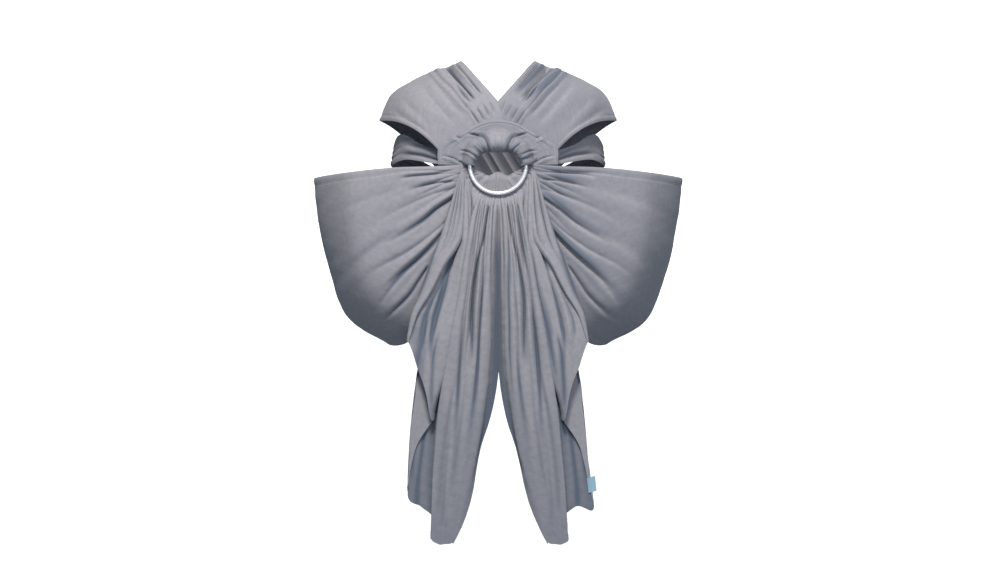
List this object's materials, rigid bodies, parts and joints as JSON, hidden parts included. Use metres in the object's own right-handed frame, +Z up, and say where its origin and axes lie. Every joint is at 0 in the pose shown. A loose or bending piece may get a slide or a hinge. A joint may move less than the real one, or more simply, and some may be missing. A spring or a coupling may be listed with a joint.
{
  "type": "twin baby ring sling",
  "caption": "Twin ring sling: a cloth harness with draped shoulder caps, a ring pair at the chest, a hip pouch on each side and two free pull tails.",
  "frame": {"origin": "midway between the wearer's shoulders, level with the tops of the shoulders, where the harness hangs", "axes": "+X to the wearer's left, +Y towards the wearer's back, +Z up"},
  "size_m": [0.551, 0.2725, 0.722],
  "materials": {
    "sling_cloth": "plain-woven linen and cotton, matt",
    "ring_metal": "polished round bar",
    "label_cloth": "smooth woven tape, blank"
  },
  "bodies": {
    "harness": {"back_ring": "ring_metal", "ring_sleeve_centre": "sling_cloth", "chest_yoke": "sling_cloth", "ring_sleeve_left": "sling_cloth", "threaded_fold_left": "sling_cloth", "neckline_hem_left": "sling_cloth", "neck_strap_left": "sling_cloth", "shoulder_cap_left": "sling_cloth", "cap_rim_hem_left": "sling_cloth", "back_strap_left": "sling_cloth", "underarm_band_left": "sling_cloth", "pouch_front_fan_left": "sling_cloth", "pouch_back_fan_left": "sling_cloth", "ring_sleeve_right": "sling_cloth", "threaded_fold_right": "sling_cloth", "neckline_hem_right": "sling_cloth", "neck_strap_right": "sling_cloth", "shoulder_cap_right": "sling_cloth", "cap_rim_hem_right": "sling_cloth", "back_strap_right": "sling_cloth", "underarm_band_right": "sling_cloth", "pouch_front_fan_right": "sling_cloth", "pouch_back_fan_right": "sling_cloth"},
    "front_ring": {"front_ring": "ring_metal"},
    "left_pouch": {"pouch_left": "sling_cloth", "pouch_outer_rail_left": "sling_cloth", "pouch_thigh_rail_left": "sling_cloth"},
    "left_gather": {"tail_gather_left": "sling_cloth"},
    "left_tail": {"tail_left": "sling_cloth"},
    "right_pouch": {"pouch_right": "sling_cloth", "pouch_outer_rail_right": "sling_cloth", "pouch_thigh_rail_right": "sling_cloth"},
    "right_gather": {"tail_gather_right": "sling_cloth"},
    "right_tail": {"tail_right": "sling_cloth", "care_label": "label_cloth"}
  },
  "joints": [
    {"name": "front_ring_tilt", "type": "hinge", "parent": "harness", "child": "front_ring", "pos_m": [0, -0.127, -0.104], "axis": [-1, 0, 0], "range_deg": [0, 7]},
    {"name": "left_tail_pull", "type": "slide", "parent": "harness", "child": "left_gather", "axis": [0, 0, -1], "range_m": [0, 0.06]},
    {"name": "left_tail_swing", "type": "hinge", "parent": "left_gather", "child": "left_tail", "pos_m": [0, -0.14, -0.2365], "axis": [-1, 0, 0], "range_deg": [0, 30]},
    {"name": "left_pouch_close", "type": "hinge", "parent": "harness", "child": "left_pouch", "pos_m": [-0.14, 0, -0.408], "axis": [0, 1, 0], "range_deg": [0, 7], "deforming": ["pouch_front_fan_left", "pouch_back_fan_left"]},
    {"name": "right_tail_pull", "type": "slide", "parent": "harness", "child": "right_gather", "axis": [0, 0, -1], "range_m": [0, 0.06]},
    {"name": "right_tail_swing", "type": "hinge", "parent": "right_gather", "child": "right_tail", "pos_m": [0, -0.14, -0.2365], "axis": [-1, 0, 0], "range_deg": [0, 30]},
    {"name": "right_pouch_close", "type": "hinge", "parent": "harness", "child": "right_pouch", "pos_m": [0.14, 0, -0.408], "axis": [0, -1, 0], "range_deg": [0, 7], "deforming": ["pouch_front_fan_right", "pouch_back_fan_right"]}
  ],
  "couplings": [
    {"joint": "left_pouch_close", "follows": "left_tail_pull", "rad_per_m": 2},
    {"joint": "right_pouch_close", "follows": "right_tail_pull", "rad_per_m": 2}
  ]
}
